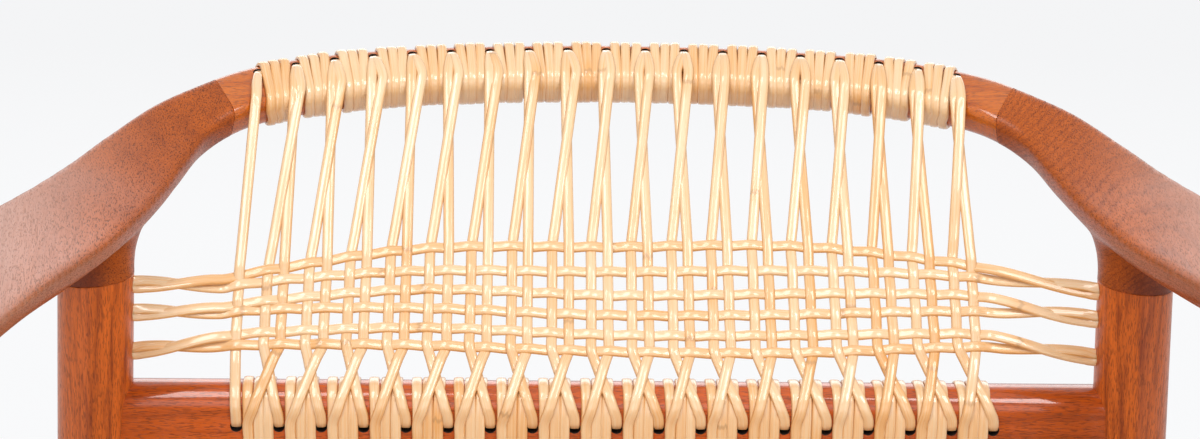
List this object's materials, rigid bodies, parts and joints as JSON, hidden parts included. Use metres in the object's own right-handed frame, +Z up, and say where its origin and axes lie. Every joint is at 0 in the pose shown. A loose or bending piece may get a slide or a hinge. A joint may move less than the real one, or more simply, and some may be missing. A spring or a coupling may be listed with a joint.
{
  "type": "planters chair",
  "caption": "Low wooden lounge armchair with round legs, paddle arms running into a bent crest rail, a laced open cane back and a woven cane seat.",
  "frame": {"origin": "on the floor, under the middle of the chair's bounding box", "axes": "+X to the right as the chair is seen from the front, -Y the way the sitter faces, +Z up"},
  "size_m": [0.716, 0.5888, 0.6077],
  "materials": {
    "teak": "oiled teak",
    "cane": "natural glossy cane"
  },
  "bodies": {
    "root": {"rear_leg_left": "teak", "front_leg_left": "teak", "rear_leg_right": "teak", "front_leg_right": "teak", "back_rail": "teak", "seat_rail_front": "teak", "seat_rail_rear": "teak", "seat_rail_left": "teak", "seat_rail_right": "teak", "crest_rail": "teak", "crest_dowel_left": "teak", "arm_left": "teak", "crest_dowel_right": "teak", "arm_right": "teak", "crest_cane_winding": "cane", "back_rail_cane_winding": "cane", "back_cane_lacing": "cane", "seat_cane": "cane"}
  },
  "joints": []
}
